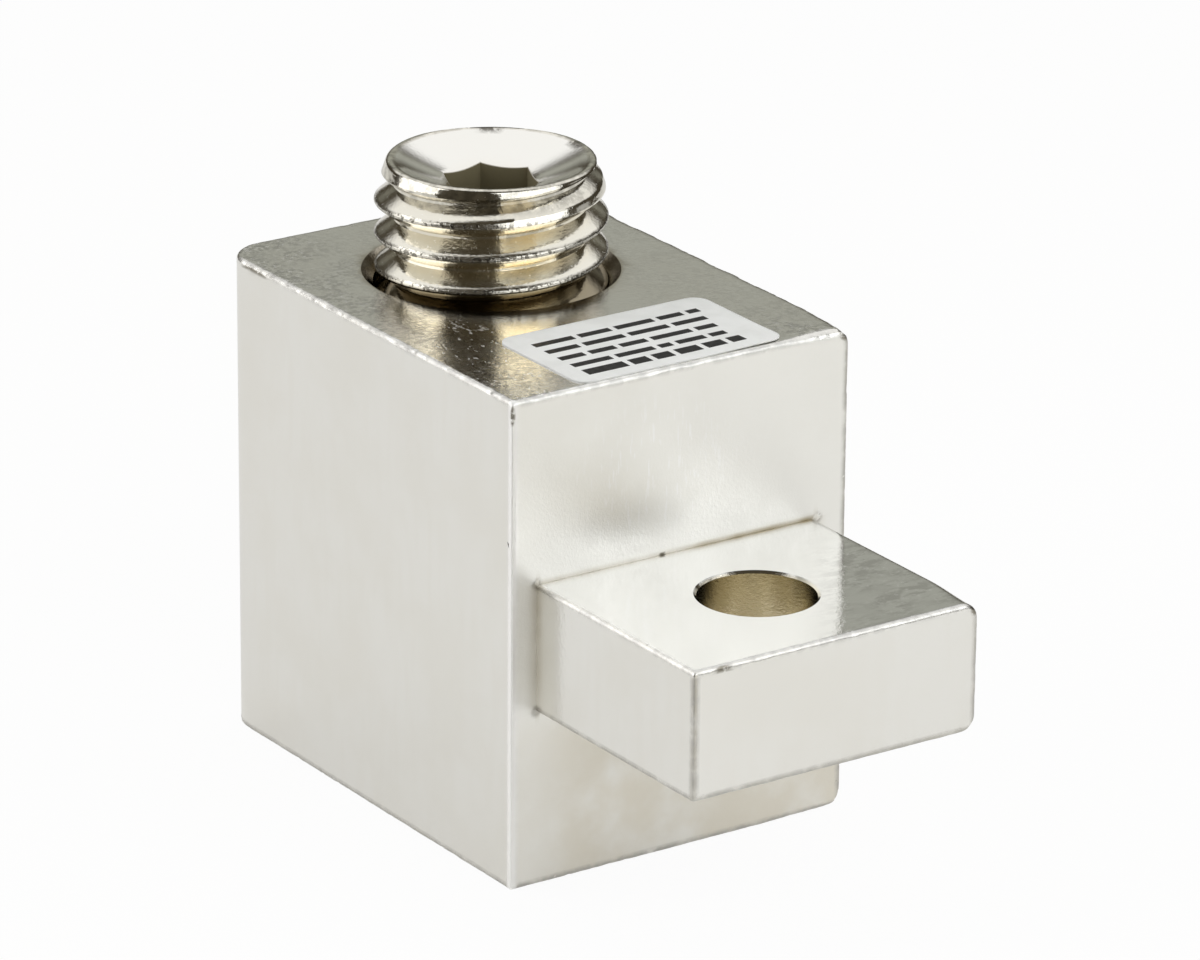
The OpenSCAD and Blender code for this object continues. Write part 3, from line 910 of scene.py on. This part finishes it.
filmSet = {
    "white": (0.93, 0.94, 0.925, 1), "shade": (0.86, 0.87, 0.85, 1), "ink": (0.012, 0.012, 0.012, 1),
    "rough": (0.38, 0.5), "shine": 0.2, "rippleDepth": 0.006,
}


def filmFinish(s):                       # white film with plain dark bars
    finish, tree, shader = newFinish("labelFilm")
    place = placeOf(tree)
    paper = blendOf(tree, spanOf(tree, noiseOf(tree, place, 2.5, 3.0), 0.35, 0.75), s["white"], s["shade"])
    feed(tree, shader, "Base Color", blendOf(tree, attributeOf(tree, "ink"), paper, s["ink"]))
    feed(tree, shader, "Roughness", spanOf(tree, noiseOf(tree, place, 0.6, 2.0), 0.3, 0.7, *s["rough"]))
    shader.inputs["Specular IOR Level"].default_value = s["shine"]
    feed(tree, shader, "Normal", bumpOf(tree, noiseOf(tree, place, 1.6, 2.0), s["rippleDepth"]))
    return finish


body.data.materials.clear()
body.data.materials.append(plateFinish(plateSet))
screw.data.materials.append(brightFinish(brightSet))
film.data.materials.append(filmFinish(filmSet))
print("finishes done")

# The stage, the light and the camera
viewSet = {
    "aim": (-35.09, 6.606, 4.569), "azimuth": 55.884, "elevation": 20.747, "roll": 0.465,
    "distance": 696.73, "lens": 222.03, "sensor": 36.0,
}


def fromView(turn, rise):                # a direction: degrees round from the camera, and above the horizon
    a, e = math.radians(viewSet["azimuth"] + turn), math.radians(rise)
    return Vector((math.sin(a) * math.cos(e), -math.cos(a) * math.cos(e), math.sin(e)))


# A pale table top with a wedge left open in front of the lug and a warm one beside it, out of the picture
stageSet = {
    "reach": 2000.0, "inFront": 132.0,
    "opening": (-57.0, 11.0), "warmTo": 50.0,   # degrees from the camera
    "colour": (0.9, 0.895, 0.87, 1), "glow": (1, 1, 1, 1),
    "warm": (0.78, 0.70, 0.54, 1), "warmGlow": (0.88, 0.79, 0.61, 1),
    "seenWhite": 0.95, "mirroredWhite": 0.37,
}


def floorFinish(name, colour, glow, s):  # pale to the light, and brighter to the camera and in mirrors
    finish = bpy.data.materials.new(name)
    tree = emptyTree(finish)
    pale = addNode(tree, "ShaderNodeBsdfDiffuse")
    pale.inputs["Color"].default_value = colour
    white = addNode(tree, "ShaderNodeEmission")
    rays = addNode(tree, "ShaderNodeLightPath")
    feed(tree, white, "Color", blendOf(tree, rays.outputs["Is Camera Ray"], glow, s["glow"]))
    mirrored = timesOf(tree, rays.outputs["Is Glossy Ray"], s["mirroredWhite"])
    share = mathOf(tree, "MULTIPLY_ADD", rays.outputs["Is Camera Ray"], s["seenWhite"], mirrored)
    mix = addNode(tree, "ShaderNodeMixShader")
    tree.links.new(share, mix.inputs[0])
    tree.links.new(pale.outputs[0], mix.inputs[1])
    tree.links.new(white.outputs[0], mix.inputs[2])
    output = addNode(tree, "ShaderNodeOutputMaterial")
    tree.links.new(mix.outputs[0], output.inputs["Surface"])
    return finish


def buildFloor(s):
    ahead, across = np.array(fromView(0, 0)), np.array(fromView(90, 0))
    middle = np.array([screwSpot[0], screwSpot[1], bodyLow[2]])
    left, right, warm = (math.tan(math.radians(a)) for a in (*s["opening"], s["warmTo"]))
    share = np.linspace(0, 1, 3)[None, :, None]

    def strip(start, end, fromSide, toSide):     # runs towards the camera, its two sides given along the way
        u = np.linspace(start, end, 3)[:, None, None]
        low, high = fromSide(u), toSide(u)
        return middle + u * ahead + (low + (high - low) * share) * across

    far = s["reach"] * 2
    pale = [
        strip(-s["reach"], s["inFront"], lambda u: 0 * u - far, lambda u: 0 * u + far),
        strip(s["inFront"], s["reach"], lambda u: warm * u, lambda u: 0 * u + far),
        strip(s["inFront"], s["reach"], lambda u: 0 * u - far, lambda u: left * u),
    ]
    beside = [strip(s["inFront"], s["reach"], lambda u: right * u, lambda u: warm * u)]
    for name, grids, colour, glow in (("floor", pale, s["colour"], s["glow"]),
                                      ("warmFloor", beside, s["warm"], s["warmGlow"])):
        floor = addPiece(name, weldGrids(name, grids))
        floor.data.materials.append(floorFinish(name, colour, glow, s))


def buildCamera(s):
    roll = math.radians(s["roll"])
    back, right = fromView(0, s["elevation"]), fromView(90, 0)
    up = back.cross(right)
    across = right * math.cos(roll) + up * math.sin(roll)
    above = up * math.cos(roll) - right * math.sin(roll)
    camera = bpy.data.objects.new("camera", bpy.data.cameras.new("camera"))
    camera.data.sensor_width, camera.data.lens = s["sensor"], s["lens"]
    camera.data.clip_start, camera.data.clip_end = 0.01, 20.0
    spot = Vector(s["aim"]) * mm + back * s["distance"] * mm
    turn = Matrix((across, above, back)).transposed()
    camera.matrix_world = Matrix.Translation(spot) @ turn.to_4x4()
    scene.collection.objects.link(camera)
    scene.camera = camera


# Softboxes: turn is degrees to the right of the camera seen from above, rise is above the horizon
boxLights = [
    {"name": "rightBox", "turn": 46.0, "rise": 32.5, "distance": 0.45, "size": (0.59, 0.335), "level": 1.75,
     "colour": (0.965, 0.985, 1.0)},
    {"name": "leftBox", "turn": -86.0, "rise": 24.0, "distance": 0.8, "size": (0.78, 0.65), "level": 1.9,
     "colour": (1.0, 1.0, 1.0)},
    {"name": "lowStrip", "turn": 36.0, "rise": 16.0, "distance": 0.45, "size": (0.36, 0.07), "level": 1.3,
     "colour": (1.0, 1.0, 0.98)},
]

# The big panel overhead, leaning to the back, over a grey wall straight behind and a dim room;
# a small bright spot stands low on the right
panelSet = {
    "rise": 60.0, "low": (-0.74, -0.36), "high": (0.95, 0.6), "side": (1.35, 0.95),
    "white": (1.03, 1.03, 1.025, 1), "room": (0.065, 0.056, 0.04, 1),
    "wall": (0.43, 0.435, 0.385, 1), "wallEdge": (0.82, 0.93), "wallFoot": (0.05, 0.36),
    "spot": (103.0, 5.0), "spotEdge": (0.98, 0.992), "spotWhite": (0.45, 0.45, 0.44, 1),
}


def buildLights(boxes):
    aim = Vector(viewSet["aim"]) * mm
    for box in boxes:
        away = fromView(box["turn"], box["rise"])
        lamp = bpy.data.lights.new(box["name"], "AREA")
        lamp.shape, lamp.color = "RECTANGLE", box["colour"]
        lamp.size, lamp.size_y = box["size"]
        lamp.energy = box["level"] * math.pi * lamp.size * lamp.size_y   # level is the box's own brightness
        holder = bpy.data.objects.new(box["name"], lamp)
        holder.location = aim + away * box["distance"]
        holder.rotation_mode = "QUATERNION"
        holder.rotation_quaternion = away.to_track_quat("Z", "Y")
        scene.collection.objects.link(holder)


def buildWorld(s):                       # white to the camera, and to all else a dim room with one big panel
    scene.world = bpy.data.worlds.new("studio")
    tree = emptyTree(scene.world)
    looking = addNode(tree, "ShaderNodeTexCoord").outputs["Generated"]

    def along(direction):                # how far the looking direction goes along this one
        node = addNode(tree, "ShaderNodeVectorMath", operation="DOT_PRODUCT")
        tree.links.new(looking, node.inputs[0])
        node.inputs[1].default_value = direction
        return node.outputs["Value"]

    facing = along(fromView(180, s["rise"]))
    ahead = mathOf(tree, "MAXIMUM", facing, 0.01)
    x = mathOf(tree, "ABSOLUTE", mathOf(tree, "DIVIDE", along(fromView(90, 0)), ahead))
    y = mathOf(tree, "DIVIDE", along(fromView(0, 90 - s["rise"])), ahead)
    panel = timesOf(tree, spanOf(tree, x, *s["side"]), spanOf(tree, y, *s["low"]))
    panel = timesOf(tree, panel, spanOf(tree, y, *s["high"]))
    panel = timesOf(tree, panel, spanOf(tree, facing, 0.0, 0.1))
    behind = spanOf(tree, along(fromView(180, 0)), *s["wallEdge"])
    behind = timesOf(tree, behind, spanOf(tree, along((0, 0, 1)), *s["wallFoot"]))
    spot = spanOf(tree, along(fromView(*s["spot"])), *s["spotEdge"])
    light = blendOf(tree, behind, s["room"], s["wall"])
    light = blendOf(tree, panel, light, s["white"])
    light = blendOf(tree, spot, light, s["spotWhite"])
    rays = addNode(tree, "ShaderNodeLightPath")
    ground = addNode(tree, "ShaderNodeBackground")
    feed(tree, ground, "Color", blendOf(tree, rays.outputs["Is Camera Ray"], light, (1, 1, 1, 1)))
    output = addNode(tree, "ShaderNodeOutputWorld")
    tree.links.new(ground.outputs[0], output.inputs["Surface"])


buildFloor(stageSet)
buildLights(boxLights)
buildWorld(panelSet)
buildCamera(viewSet)
print("stage, light and camera done")

bpy.context.view_layer.update()
